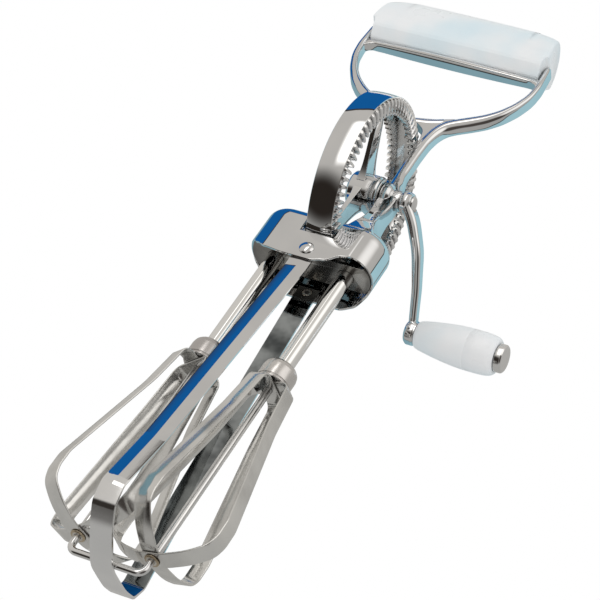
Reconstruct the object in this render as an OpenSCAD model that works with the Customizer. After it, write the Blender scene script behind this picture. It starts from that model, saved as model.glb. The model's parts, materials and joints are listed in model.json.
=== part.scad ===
// Rotary hand beater: a looped metal frame with a plastic grip, a crank-driven crown wheel
// toothed on both faces, and two counter-rotating four-blade beaters run by pinions.
// Z is up, towards the grip. X runs along the grip towards the crank. -Y is the front.
// The origin is the middle of the grip. Heights named *_h are measured from a level 0.4 mm
// below the lowest point.

/* [Grip and frame] */
// Length of the plastic grip along X
grip_length = 82; // [80:1:90]
// Front-to-back depth of the plastic grip
grip_depth = 18; // [16:0.5:20]
// Height of the plastic grip above its flat underside
grip_height = 28; // [26:0.2:30]
// Front-to-back depth of the frame loop
loop_depth = 6.4; // [5.6:0.2:7]
// Thickness of the frame loop at the grip, seen from the front; it grows towards the stem
loop_thickness = 2.5; // [2.2:0.1:2.8]

/* [Crank] */
// Distance from the axle to the knob spindle
crank_radius = 48.4; // [47:0.2:49]
// Angle of the crank arm below the horizontal
crank_drop = 46; // [30:1:60]
// Length of the plastic knob
knob_length = 34.1; // [30:0.1:38]
// Largest diameter of the plastic knob
knob_diameter = 16.8; // [15:0.2:17]

/* [Beaters] */
// Width of the blade strip
blade_width = 7; // [5:0.5:7.5]
// Thickness of the blade strip
blade_thickness = 0.8; // [0.6:0.1:1]
// Radius of the blade middle surface at the widest bend
blade_radius = 22.5; // [20:0.5:23]
// Turn of the right beater about its shaft
right_phase = -16; // [-22:1:-14]
// Turn of the left beater about its shaft
left_phase = 51; // [49:1:59]

/* [Hidden] */

fn_small = 32;
fn_mid = 64;
fn_large = 144;
eps = 0.5;            // overshoot of a cutting shape past the face it opens
run = 0.05;           // radial clearance of a turning fit
press = 0.02;         // radial clearance of a pressed fit

// Heights
grip_base_h = 296;
origin_h = grip_base_h + grip_height / 2;
axle_h = 210.4;
front_rivet_h = 162.3;
back_rivet_h = 158.8;
collar_h = 100.5;
collar_top_h = 111;
rod_top_h = 103.4;
shaft_base_h = 103.5;
pinion_seat_h = 171;
pinion_base_h = 172.3;
pinion_top_h = 176.2;
washer_top_h = 176.9;
journal_top_h = 181;
eyelet_h = 9.3;
blade_base_h = 10.1;

// Gears
shaft_x = 15;
wheel_teeth = 72;
pinion_teeth = 18;
mesh_radius = 36.35;  // wheel radius at the middle of the pinion face
pinion_pitch = mesh_radius * pinion_teeth / wheel_teeth;
addendum = 0.7;
dedendum = 1.05;
pinion_tip_width = 0.6;
pinion_root_width = 1.4;
crown_tooth_width = 1;
pitch_plane_x = shaft_x - pinion_pitch;
crown_root_x = pitch_plane_x - dedendum;
crown_tip_x = pitch_plane_x + addendum;

// Drive wheel
wheel_radius = 40;
rim_half_width = 5.4;
rim_wall = 0.9;
flange_wall = 0.9;
crown_inner_radius = 33.4;
crown_point_radius = 32.3;
crown_slot_radius = 38.7;
spoke_half = 1;
spoke_root_width = 9.4;
spoke_tip_width = 5;
spoke_count = 3;
spoke_start = 23;     // angle of the first spoke from +Y
hub_radius = 7.6;
hub_left_x = -5;
axle_radius = 2.5;
axle_head_radius = 3.6;

// Frame
stem_left_x = 8.6;
stem_right_x = 12.9;
stem_half_depth = 3.2;
hub_gap = 0.15;
boss_radius = 6;
boss_disc_x = 12.5;
boss_nose_radius = 4.2;
boss_right_x = 17;
loop_low_h = 254.6;
loop_top_h = 303.4;
bar_height = 2.2;
socket_gap = 0.05;
socket_end_gap = 0.3;
scale_x = grip_length / 85;
bar_depth = 5.8;
step_x = 39.5 * scale_x; // half length of the grip between the tips of the loop
housing_radius = 11.3;
housing_inner = 10.3;
housing_low_h = 155;
housing_wall_h = 178.4;
housing_top_h = 185.4;
slot_half_x = 7.2;
slot_floor_h = 171;
bearing_boss_radius = 4;
journal_radius = 2;
shaft_radius = 3.4;

// Centre strip and pivot wire
strip_width = 9;
strip_thickness = 1.2;
strip_low_h = 0.5;      // corner of the middle line under the axis, before rounding
strip_top_y = housing_inner - press - strip_thickness / 2;
strip_top_h = 167;
rivet_radius = 2;
wire_radius = 1.4;
wire_h = 3.0;
wire_bend = 3;
wire_leg_top_h = 12.3;

// Crank
arm_left_x = 17.2;
arm_thickness = 4;
arm_depth = 7.4;
arm_boss_right_x = 21.4;
arm_boss_radius = 4.6;
arm_end_x = 35.5;
arm_end_radius = 4.6;
spindle_radius = 1.6;
knob_left_x = arm_end_x + 2.4;
knob_right_x = knob_left_x + knob_length;
cap_radius = 5.7;
cap_length = 3;

// Beaters
collar_radius = 7.1;
rod_radius = 1.6;
eyelet_radius = 3.4;
eyelet_tube = 2.3;

// Moves heights above the lowest point into the shared frame.
module set_down() translate([0, 0, -origin_h]) children();

// Arc that rounds the corner b between a and c with radius r, as points.
function corner_arc(a, b, c, r, n = 8) =
  let (
    u = (a - b) / norm(a - b),
    v = (c - b) / norm(c - b),
    half = acos(u * v) / 2,
    reach = r / tan(half),
    start = b + u * reach,
    stop = b + v * reach,
    centre = b + (u + v) / norm(u + v) * r / sin(half),
    first = atan2(start.y - centre.y, start.x - centre.x),
    last = atan2(stop.y - centre.y, stop.x - centre.x),
    turn = (last - first + 540) % 360 - 180
  )
  [for (i = [0 : n]) centre + r * [cos(first + turn * i / n), sin(first + turn * i / n)]];

// Open path through pts with the inner corners rounded by the radii in r.
function rounded_path(pts, r) = [
  pts[0],
  for (i = [1 : len(pts) - 2]) each corner_arc(pts[i - 1], pts[i], pts[i + 1], r[i - 1]),
  pts[len(pts) - 1]
];

function left_normal(v) = [-v.y, v.x] / norm(v);

// Direction that moves point i of an open path sideways by one unit of thickness.
function side_step(p, i) =
  let (
    last = len(p) - 1,
    n_in = left_normal(p[max(i, 1)] - p[max(i, 1) - 1]),
    n_out = left_normal(p[min(i, last - 1) + 1] - p[min(i, last - 1)])
  )
  (n_in + n_out) / (1 + n_in * n_out);

// Strip along an open path, with the thickness of each of its points listed in t.
module tapered_stroke(p, t) {
  last = len(p) - 1;
  polygon(concat(
    [for (i = [0 : last]) p[i] + side_step(p, i) * t[i] / 2],
    [for (i = [last : -1 : 0]) p[i] - side_step(p, i) * t[i] / 2]
  ));
}

// Strip of constant thickness t along an open path.
module stroke(p, t) tapered_stroke(p, [for (q = p) t]);

// Band of constant thickness t along a closed path that runs anticlockwise.
module closed_stroke(p, t) {
  n = len(p);
  function step(i) =
    let (n_in = left_normal(p[i] - p[(i + n - 1) % n]), n_out = left_normal(p[(i + 1) % n] - p[i]))
    (n_in + n_out) / (1 + n_in * n_out);
  difference() {
    polygon([for (i = [0 : n - 1]) p[i] - step(i) * t / 2]);
    polygon([for (i = [0 : n - 1]) p[i] + step(i) * t / 2]);
  }
}

// Mirror image of an open path across the second axis, joined to the path itself.
function both_sides(p) = concat(
  [for (i = [len(p) - 1 : -1 : 1]) [-p[i].x, p[i].y]],
  [for (i = [0 : len(p) - 1]) p[i]]
);

// Raises a flat shape drawn as (X, height) and gives it depth d along Y.
module upright(d) rotate([90, 0, 0]) linear_extrude(height = d, center = true) children();

// Raises a flat shape drawn as (Y, height) and gives it the X range x0 to x1.
module facing_x(x0, x1)
  translate([x0, 0, 0]) rotate([90, 0, 90]) linear_extrude(height = x1 - x0) children();

// Round bar along X from x0 to x1 at the axle height.
module axle_bar(r, x0, x1, fn)
  translate([x0, 0, axle_h]) rotate([0, 90, 0]) cylinder(r = r, h = x1 - x0, $fn = fn);

// Moves the crank side pieces, drawn with the arm along +Y, to the crank angle.
module on_crank()
  set_down() translate([0, 0, axle_h]) rotate([-crank_drop, 0, 0]) children();

// Profile of the gear housing as (radius, height).
function housing_profile(r, top, low) = [
  [0, low], [r, low], [r, housing_wall_h], [r - 0.5, top - 5.6], [r - 1.7, top - 4.1],
  [r - 3.6, top - 2.4], [r - 6, top - 0.9], [r - 8.3, top - 0.1], [0, top]
];

module housing_solid(r, top, low) {
  for (s = [-1, 1])
    translate([s * shaft_x, 0, 0])
      rotate_extrude($fn = fn_large) polygon(housing_profile(r, top, low));
  facing_x(-shaft_x, shaft_x) union() {
    polygon(housing_profile(r, top, low));
    mirror([1, 0]) polygon(housing_profile(r, top, low));
  }
}

loop_path = rounded_path(both_sides([
  [0, loop_low_h], [9.5, 256], [18.7 * scale_x, 258.9], [23.9 * scale_x, 262],
  [29 * scale_x, 265.8], [33.8 * scale_x, 270.5], [38 * scale_x, 277],
  [41 * scale_x, 284.5], [41.8 * scale_x, 292], [41 * scale_x, loop_top_h]
]), [28, 28, 30, 20, 20, 20, 30, 30, 30, 30, 30, 20, 20, 20, 30, 28, 28]);

// Thickness of the loop at height h.
function loop_width(h) =
  loop_thickness
  + lookup(h, [[254.6, 0.9], [256, 1.7], [259, 3], [262, 2.8], [266, 2.4], [271, 1.7], [277, 0.6], [285, 0]]);

// Front outline of the loop, widened by gap on each side and longer by end_gap at both ends.
module loop_outline(gap = 0, end_gap = 0) {
  path = concat(
    [loop_path[0] + [0, end_gap]], [for (i = [1 : len(loop_path) - 2]) loop_path[i]],
    [loop_path[len(loop_path) - 1] + [0, end_gap]]
  );
  tapered_stroke(path, [for (q = path) loop_width(q.y) + 2 * gap]);
}

// Side outline of the stem with its flared foot, as (Y, height).
module stem_side()
  polygon([
    [-10.9, 176], [-10.2, 181], [-7, 190], [-stem_half_depth - 0.8, 198], [-stem_half_depth, 206],
    [-stem_half_depth, loop_low_h + 1], [stem_half_depth, loop_low_h + 1],
    [stem_half_depth, 206], [stem_half_depth + 0.8, 198], [7, 190], [10.2, 181], [10.9, 176]
  ]);

// Front outline of the stem, as (X, height): flared foot, widening at the axle, forked head.
module stem_front()
  polygon([
    [slot_half_x, 176], [slot_half_x, 180], [8, 186], [9.6, 192], [10.4, 200], [stem_left_x, 205],
    [stem_left_x, 246], [stem_left_x - 1.2, 251], [stem_left_x - 4, 254], [stem_left_x - 7, loop_low_h],
    [9.5, 256], [18.7, 258.9], [20, 257], [stem_right_x + 3, 254], [stem_right_x + 1.2, 250],
    [stem_right_x + 0.3, 244], [stem_right_x, 236], [stem_right_x, 222], [stem_right_x + 1.6, 217],
    [boss_right_x - 1, 213], [boss_right_x - 1, 204], [15.2, 198], [15, 192], [16.6, 187], [20, 181],
    [20, 176]
  ]);

// Bar under the grip, bowed in plan and filleted into the loop.
module cross_bar()
  intersection() {
    upright(bar_depth)
      polygon([
        [-41.4 * scale_x, grip_base_h], [-41.6 * scale_x, grip_base_h - bar_height - 4],
        [-40.2 * scale_x, grip_base_h - bar_height - 1.4], [-37 * scale_x, grip_base_h - bar_height],
        [37 * scale_x, grip_base_h - bar_height], [40.2 * scale_x, grip_base_h - bar_height - 1.4],
        [41.6 * scale_x, grip_base_h - bar_height - 4], [41.4 * scale_x, grip_base_h]
      ]);
    translate([0, 0, grip_base_h - 10])
      linear_extrude(height = 11)
        polygon([
          [-42 * scale_x, -2], [-24 * scale_x, -2.6], [0, -bar_depth / 2], [24 * scale_x, -2.6],
          [42 * scale_x, -2], [42 * scale_x, 2], [24 * scale_x, 2.6], [0, bar_depth / 2],
          [-24 * scale_x, 2.6], [-42 * scale_x, 2]
        ]);
  }

// Material under the lower lip of the housing, as (X, height); the back lip hangs lower.
module front_lip_cut()
  polygon([
    [-40, 150], [-40, 164.4], [-24.2, 164.4], [-20.6, 159.6], [-17, 157.8], [-8, 157.2],
    [4, 157.2], [9, 159.2], [14.5, 163.4], [19, 164.6], [40, 164.6], [40, 150]
  ]);
module back_lip_cut()
  polygon([
    [-40, 150], [-40, 164.4], [-24.2, 164.4], [-20.6, 159.6], [-17, 157.4], [-8, 156],
    [14, 156], [20, 158], [24.4, 162], [27, 164.6], [40, 164.6], [40, 150]
  ]);

// Hole for a rivet through the front (s = -1) or back wall, h long.
module rivet_hole(s, height, h)
  translate([0, s * housing_inner, height]) rotate([90, 0, 0])
    cylinder(r = rivet_radius + press, h = h, center = true, $fn = fn_small);

// Looped frame: stem, axle boss, Y-shaped loop, cross bar and the housing of the pinions.
module frame() {
  color("silver") set_down() {
    difference() {
      union() {
        housing_solid(housing_radius, housing_top_h, housing_low_h);
        intersection() {
          facing_x(0, 30) stem_side();
          upright(30) stem_front();
        }
        axle_bar(boss_radius, stem_left_x, boss_disc_x, fn_mid);
        axle_bar(boss_nose_radius, stem_left_x, boss_right_x, fn_mid);
        upright(loop_depth) loop_outline();
        cross_bar();
      }
      translate([0, -15, 0]) upright(30) front_lip_cut();
      translate([0, 15, 0]) upright(30) back_lip_cut();
      housing_solid(housing_inner, housing_top_h - 1.2, housing_low_h - eps);
      translate([-slot_half_x, -20, slot_floor_h]) cube([2 * slot_half_x, 40, 26]);
      axle_bar(axle_radius + run, stem_left_x - eps, boss_right_x + eps, fn_mid);
      rivet_hole(-1, front_rivet_h, 6);
      rivet_hole(1, back_rivet_h, 6);
    }
    for (s = [-1, 1])
      translate([s * shaft_x, 0, 0])
        difference() {
          translate([0, 0, washer_top_h])
            cylinder(r = bearing_boss_radius, h = housing_top_h - 0.6 - washer_top_h, $fn = fn_mid);
          translate([0, 0, washer_top_h - eps])
            cylinder(r = journal_radius + run, h = journal_top_h + 0.3 - washer_top_h + eps, $fn = fn_mid);
        }
  }
}

// D-shaped section of the grip as (Y, height above its underside).
grip_section = let (y = grip_depth / 2, z = grip_height) [
  [-y * 0.45, 0], [-y * 0.8, z * 0.13], [-y * 0.93, z * 0.22], [-y, z * 0.36],
  [-y * 0.985, z * 0.55], [-y * 0.9, z * 0.72], [-y * 0.76, z * 0.85], [-y * 0.55, z * 0.94],
  [-y * 0.28, z * 0.985], [0, z], [y * 0.28, z * 0.985], [y * 0.55, z * 0.94],
  [y * 0.76, z * 0.85], [y * 0.9, z * 0.72], [y * 0.985, z * 0.55], [y, z * 0.36],
  [y * 0.93, z * 0.22], [y * 0.8, z * 0.13], [y * 0.45, 0]
];

// Front outline of the grip as (X, height above its underside).
grip_front = let (x = grip_length / 2, z = grip_height) [
  [-x + 1, 0], [-x, 1.2], [-x + 0.6, z * 0.35], [-x + 1.6, z * 0.62], [-x + 3.2, z * 0.8],
  [-x + 5.8, z * 0.9], [-x + 9.5, z * 0.945], [-x + 22, z * 0.985], [0, z], [x - 22, z * 0.985],
  [x - 9.5, z * 0.945], [x - 5.8, z * 0.9], [x - 3.2, z * 0.8], [x - 1.6, z * 0.62],
  [x - 0.6, z * 0.35], [x, 1.2], [x - 1, 0]
];

// Plastic grip held between the tips of the loop, which sit in a step at each end.
module grip() {
  color("white") set_down()
    difference() {
      translate([0, 0, grip_base_h])
        intersection() {
          facing_x(-grip_length / 2, grip_length / 2) polygon(grip_section);
          upright(grip_depth) polygon(grip_front);
        }
      upright(grip_depth + 2)
        for (s = [0, 1]) mirror([s, 0, 0])
          polygon([
            [step_x, grip_base_h - 1], [step_x, loop_top_h - 2.4], [step_x + 1, loop_top_h - 0.4],
            [step_x + 2.4, loop_top_h + socket_end_gap], [grip_length, loop_top_h + socket_end_gap],
            [grip_length, grip_base_h - 1]
          ]);
      upright(loop_depth + 2 * socket_gap)
        loop_outline(socket_gap, socket_end_gap);
    }
}

// Plate inside the housing that carries both shafts below the pinions.
module bearing_bridge() {
  color("silver") set_down() translate([0, 0, 163.6])
    difference() {
      intersection() {
        union() {
          for (s = [-1, 1])
            translate([s * shaft_x, 0, 0])
              cylinder(r = housing_inner - press, h = 1.6, $fn = fn_large);
          translate([-shaft_x, -6.4, 0]) cube([2 * shaft_x, 12.8, 1.6]);
        }
        translate([-30, -6.4, 0]) cube([60, 12.8, 1.6]);
      }
      for (s = [-1, 1])
        translate([s * shaft_x, 0, -eps])
          cylinder(r = shaft_radius + run, h = 1.6 + 2 * eps, $fn = fn_mid);
    }
}

// Thrust washers between the pinions and the housing.
module pinion_washers() {
  color("goldenrod") set_down()
    for (s = [-1, 1])
      translate([s * shaft_x, 0, pinion_top_h + run])
        difference() {
          cylinder(r = bearing_boss_radius, h = washer_top_h - pinion_top_h - run, $fn = fn_mid);
          translate([0, 0, -eps])
            cylinder(r = journal_radius + run, h = 2, $fn = fn_mid);
        }
}

// Rivet along Y through the housing wall and the strip leg; hollow is the radius of its hole.
module rivet(head, hollow) {
  inner_y = strip_top_y - strip_thickness / 2;
  rotate([90, 0, 0]) rotate_extrude($fn = fn_small)
    polygon([
      [hollow, inner_y - 1], [rivet_radius + 0.9, inner_y - 1],
      [rivet_radius + 0.9, inner_y], [rivet_radius, inner_y],
      [rivet_radius, housing_radius], [head, housing_radius],
      [head, housing_radius + 0.3], [head * 0.8, housing_radius + 0.9],
      [head * 0.45, housing_radius + 1.25], [hollow, housing_radius + 1.35]
    ]);
}

module front_rivet() {
  color("silver") set_down() translate([0, 0, front_rivet_h]) rivet(2.9, 0);
}

module back_rivet() {
  color("goldenrod") set_down() translate([0, 0, back_rivet_h]) rotate([0, 0, 180]) rivet(2.8, 1);
}

strip_path = rounded_path(both_sides([
  [0, strip_low_h], [9, 2.9], [17, 5.2], [24.6, 9], [27.8, 16.5], [22.3, 45],
  [strip_top_y, 154], [strip_top_y, strip_top_h]
]), [30, 30, 5, 4, 30, 30, 14, 30, 30, 4, 5, 30, 30]);

// Bent strip from the front of the housing, under both beaters, to its back.
module centre_strip() {
  color("silver") set_down()
    difference() {
      facing_x(-strip_width / 2, strip_width / 2) stroke(strip_path, strip_thickness);
      rivet_hole(-1, front_rivet_h, 6);
      rivet_hole(1, back_rivet_h, 6);
    }
}

// Round wire across the strip whose raised ends are the lower pivots of the beaters.
module pivot_wire() {
  straight = shaft_x - wire_bend;
  color("silver") set_down() {
    translate([0, 0, wire_h]) rotate([0, 90, 0])
      cylinder(r = wire_radius, h = 2 * straight, center = true, $fn = fn_small);
    for (s = [-1, 1]) {
      translate([s * straight, 0, wire_h + wire_bend])
        rotate([90, 0, 0]) mirror([s < 0 ? 1 : 0, 0, 0])
          rotate([0, 0, -90]) rotate_extrude(angle = 90, $fn = fn_mid)
            translate([wire_bend, 0]) circle(r = wire_radius, $fn = fn_small);
      translate([s * shaft_x, 0, wire_h + wire_bend])
        cylinder(r = wire_radius, h = wire_leg_top_h - wire_h - wire_bend, $fn = fn_small);
    }
  }
}

// Ring with radial teeth pointing inwards, seen along the axle.
module crown_outline() {
  pitch = 360 / wheel_teeth;
  function at(r, half, a) = let (t = asin(half / r)) [r * cos(a + t), r * sin(a + t)];
  w = crown_tooth_width / 2;
  difference() {
    circle(r = wheel_radius - rim_wall + 0.2, $fn = fn_large);
    polygon([
      for (i = [0 : wheel_teeth - 1]) let (a = i * pitch) each [
        at(crown_slot_radius, w, a - pitch),
        at(crown_slot_radius, -w, a),
        at(crown_inner_radius, -w, a),
        at(crown_point_radius, 0, a),
        at(crown_inner_radius, w, a)
      ]
    ]);
  }
}

// Flange behind the teeth, with a shallow saw edge.
module flange_outline() {
  pitch = 360 / wheel_teeth;
  difference() {
    circle(r = wheel_radius - rim_wall + 0.2, $fn = fn_large);
    polygon([
      for (i = [0 : wheel_teeth - 1]) let (a = i * pitch) each [
        crown_point_radius * [cos(a), sin(a)],
        (crown_inner_radius + 0.6) * [cos(a + pitch / 2), sin(a + pitch / 2)]
      ]
    ]);
  }
}

// Crown wheel with a wide rim, teeth on both faces, three spokes and a hub.
module drive_wheel() {
  spoke_end = wheel_radius - rim_wall + 0.2;
  color("silver") set_down() {
    difference() {
      axle_bar(wheel_radius, -rim_half_width, rim_half_width, fn_large);
      axle_bar(wheel_radius - rim_wall, -rim_half_width - eps, rim_half_width + eps, fn_large);
    }
    for (s = [0, 1]) mirror([s, 0, 0])
      translate([0, 0, axle_h]) {
        facing_x(crown_root_x, crown_tip_x) crown_outline();
        facing_x(crown_root_x - flange_wall, crown_root_x) flange_outline();
      }
    difference() {
      union() {
        axle_bar(hub_radius, hub_left_x, stem_left_x - hub_gap, fn_mid);
        for (i = [0 : spoke_count - 1])
          translate([0, 0, axle_h]) rotate([spoke_start + i * 360 / spoke_count, 0, 0])
            facing_x(-spoke_half, spoke_half)
              polygon([
                [0, -spoke_root_width / 2], [spoke_end, -spoke_tip_width / 2],
                [spoke_end, spoke_tip_width / 2], [0, spoke_root_width / 2]
              ]);
      }
      axle_bar(axle_radius + press, hub_left_x - eps, stem_left_x + eps, fn_mid);
    }
  }
}

// Axle riveted over at both ends, fixed to the wheel and the crank arm.
module axle() {
  color("silver") set_down() {
    axle_bar(axle_radius, hub_left_x - 0.4, arm_boss_right_x + 0.4, fn_mid);
    translate([hub_left_x, 0, axle_h]) rotate([0, -90, 0])
      cylinder(r1 = 4, r2 = 2.6, h = 1.4, $fn = fn_mid);
    translate([arm_boss_right_x, 0, axle_h]) rotate([0, 90, 0])
      cylinder(r1 = axle_head_radius, r2 = 2, h = 1.2, $fn = fn_mid);
  }
}

arm_path = rounded_path([
  [19.1, -0.8], [23.8, 6.2], [28.8, 17.2], [32.5, crank_radius * 0.65],
  [arm_end_x, crank_radius]
], [30, 40, 60]);

// Bowed crank arm with a boss on the axle and an eye for the knob spindle.
module crank_arm() {
  color("silver") on_crank()
    difference() {
      union() {
        translate([arm_left_x, 0, 0]) rotate([0, 90, 0])
          cylinder(r = arm_boss_radius, h = arm_boss_right_x - arm_left_x, $fn = fn_mid);
        intersection() {
          linear_extrude(height = arm_depth, center = true) stroke(arm_path, arm_thickness);
          facing_x(arm_left_x, arm_end_x + 3)
            polygon([
              [-1.2, -3.7], [-1.2, 3.7], [10, 3.7], [crank_radius + 2, 2.9],
              [crank_radius + 2, -2.9], [10, -3.7]
            ]);
        }
        translate([arm_end_x - arm_thickness / 2 - 0.3, crank_radius, 0]) rotate([0, 90, 0])
          cylinder(r = arm_end_radius, h = arm_thickness + 0.4, $fn = fn_mid);
      }
      translate([arm_left_x - eps, 0, 0]) rotate([0, 90, 0])
        cylinder(r = axle_radius + press, h = 8, $fn = fn_mid);
      translate([arm_boss_right_x, 0, 0]) rotate([0, 90, 0])
        cylinder(r = axle_head_radius + press, h = 8, $fn = fn_mid);
      translate([arm_end_x - 6, crank_radius, 0]) rotate([0, 90, 0])
        cylinder(r = spindle_radius + press, h = 12, $fn = fn_small);
      translate([knob_left_x - 6.6, crank_radius, 0]) rotate([0, 90, 0])
        cylinder(r = 2.9, h = 2, $fn = fn_small);
    }
}

// Places children, drawn along +Z with height equal to X, on the knob line.
module on_knob_line()
  on_crank() translate([0, crank_radius, 0]) rotate([0, 90, 0]) children();

// Spindle riveted in the arm, carrying the knob.
module knob_spindle() {
  back_x = arm_end_x - arm_thickness / 2 - 0.3;
  color("silver") on_knob_line() {
    translate([0, 0, back_x])
      cylinder(r = spindle_radius, h = knob_right_x + 1 - back_x, $fn = fn_small);
    translate([0, 0, back_x - 0.9])
      cylinder(r1 = 1.8, r2 = 2.8, h = 0.9, $fn = fn_small);
  }
}

// Domed metal cap that holds the knob on the spindle.
module knob_cap() {
  color("silver") on_knob_line() translate([0, 0, knob_right_x + 0.15])
    difference() {
      rotate_extrude($fn = fn_mid)
        polygon([
          [0, 0], [cap_radius, 0], [cap_radius, cap_length - 1],
          [cap_radius - 0.5, cap_length - 0.3], [cap_radius - 1.4, cap_length], [0, cap_length]
        ]);
      translate([0, 0, -eps])
        cylinder(r = spindle_radius + press, h = eps + 0.85, $fn = fn_small);
    }
}

// Barrel-shaped plastic knob that turns on the spindle.
module knob() {
  r = knob_diameter / 2;
  l = knob_length;
  color("white") on_knob_line() translate([0, 0, knob_left_x])
    difference() {
      rotate_extrude($fn = fn_mid)
        polygon([
          [0, 0], [r * 0.6, 0], [r * 0.67, l * 0.02], [r * 0.73, l * 0.09], [r * 0.82, l * 0.21],
          [r * 0.91, l * 0.36], [r * 0.97, l * 0.5], [r, l * 0.64], [r, l * 0.8],
          [r * 0.98, l * 0.88], [r * 0.94, l * 0.94], [r * 0.88, l * 0.975], [r * 0.8, l], [0, l]
        ]);
      translate([0, 0, -eps])
        cylinder(r = spindle_radius + run, h = l + 2 * eps, $fn = fn_small);
    }
}

// Moves pieces drawn about the Z axis to a shaft, s = -1 for the left beater.
module on_shaft(s, turn = 0)
  set_down() translate([s * shaft_x, 0, 0]) rotate([0, 0, turn]) children();

// Spur pinion with straight-sided teeth, a tooth gap facing the wheel.
module pinion(s) {
  pitch = 360 / pinion_teeth;
  root = pinion_pitch - dedendum;
  tip = pinion_pitch + addendum;
  root_half = asin(pinion_root_width / 2 / root);
  tip_half = asin(pinion_tip_width / 2 / tip);
  color("silver") on_shaft(s)
    difference() {
      union() {
        translate([0, 0, pinion_base_h])
          linear_extrude(height = pinion_top_h - pinion_base_h)
            polygon([
              for (i = [0 : pinion_teeth - 1]) let (a = (i + 0.5) * pitch) each [
                root * [cos(a - root_half), sin(a - root_half)],
                tip * [cos(a - tip_half), sin(a - tip_half)],
                tip * [cos(a + tip_half), sin(a + tip_half)],
                root * [cos(a + root_half), sin(a + root_half)]
              ]
            ]);
        translate([0, 0, pinion_seat_h])
          cylinder(r = 5.4, h = 2, $fn = fn_mid);
      }
      translate([0, 0, pinion_seat_h - eps])
        cylinder(r = journal_radius + press, h = 8, $fn = fn_mid);
    }
}

// Shaft with a thinner neck for the pinion and the upper bearing.
module shaft(s) {
  color("silver") on_shaft(s) {
    translate([0, 0, shaft_base_h])
      cylinder(r = shaft_radius, h = pinion_seat_h - shaft_base_h, $fn = fn_mid);
    translate([0, 0, pinion_seat_h - eps])
      cylinder(r = journal_radius, h = journal_top_h - pinion_seat_h + eps, $fn = fn_mid);
  }
}

// Domed collar that joins the shaft, the rod and the blades.
module collar(s) {
  h = collar_top_h - collar_h;
  color("silver") on_shaft(s) translate([0, 0, collar_h])
    difference() {
      rotate_extrude($fn = fn_mid)
        polygon([
          [0, 0], [collar_radius, 0], [collar_radius, h - 3.2], [collar_radius - 0.35, h - 1.9],
          [collar_radius - 1.2, h - 0.8], [collar_radius - 2.3, h - 0.2], [collar_radius - 3.2, h],
          [0, h]
        ]);
      translate([0, 0, -eps]) cylinder(r = rod_radius + press, h = 6, $fn = fn_small);
      translate([0, 0, shaft_base_h - collar_h])
        cylinder(r = shaft_radius + press, h = h, $fn = fn_mid);
    }
}

// Thin rod from the collar down to the eyelet.
module rod(s) {
  base_h = 13.3;
  color("silver") on_shaft(s) translate([0, 0, base_h])
    cylinder(r = rod_radius, h = rod_top_h - base_h, $fn = fn_small);
}

// Half of the blade loop as (radius, height); inset nests the second loop in the first.
function blade_half(inset) =
  let (
    low = blade_base_h + blade_thickness / 2 + inset,
    high = collar_h - blade_thickness / 2 - inset,
    r = blade_radius - inset * 0.3
  )
  [
    [0, low], [5, low], [r * 0.62, low + 2.6], [r * 0.93, 17.5 + inset],
    [r, 22.5], [r, 30], [12.3, 79], [9.6 - inset * 0.3, high], [0, high]
  ];

// One blade loop: a closed band that crosses the axis under the collar and at the eyelet.
module blade(s, turn, inset) {
  loop = both_sides(rounded_path(blade_half(inset), [12, 20, 7, 6, 8, 30, 3]));
  color("gainsboro") on_shaft(s, turn)
    difference() {
      upright(blade_width)
        closed_stroke([for (i = [1 : len(loop) - 1]) loop[i]], blade_thickness);
      translate([0, 0, collar_h - 5])
        cylinder(r = rod_radius + press, h = 10, $fn = fn_small);
      translate([0, 0, 5])
        cylinder(r = eyelet_tube + press, h = 12, $fn = fn_small);
    }
}

// Flanged eyelet through both blade loops, turning on the raised end of the wire.
module eyelet(s) {
  tube_top_h = 13.3;
  color("goldenrod") on_shaft(s)
    difference() {
      union() {
        translate([0, 0, eyelet_h])
          cylinder(r = eyelet_radius, h = blade_base_h - eyelet_h, $fn = fn_mid);
        translate([0, 0, eyelet_h])
          cylinder(r = eyelet_tube, h = tube_top_h - eyelet_h, $fn = fn_small);
      }
      translate([0, 0, eyelet_h - eps])
        cylinder(r = wire_radius + run, h = wire_leg_top_h + 0.3 - eyelet_h + eps, $fn = fn_small);
    }
}

module left_pinion() pinion(-1);
module left_shaft() shaft(-1);
module left_collar() collar(-1);
module left_rod() rod(-1);
module left_blade_outer() blade(-1, left_phase, 0);
module left_blade_inner() blade(-1, left_phase + 90, blade_thickness);
module left_eyelet() eyelet(-1);
module right_pinion() pinion(1);
module right_shaft() shaft(1);
module right_collar() collar(1);
module right_rod() rod(1);
module right_blade_outer() blade(1, right_phase, 0);
module right_blade_inner() blade(1, right_phase + 90, blade_thickness);
module right_eyelet() eyelet(1);

frame();
grip();
bearing_bridge();
pinion_washers();
front_rivet();
back_rivet();
centre_strip();
pivot_wire();
drive_wheel();
axle();
crank_arm();
knob_spindle();
knob_cap();
knob();
left_pinion();
left_shaft();
left_collar();
left_rod();
left_blade_outer();
left_blade_inner();
left_eyelet();
right_pinion();
right_shaft();
right_collar();
right_rod();
right_blade_outer();
right_blade_inner();
right_eyelet();
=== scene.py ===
import json
import math

import bmesh
import bpy
from mathutils import Matrix, Vector


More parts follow.
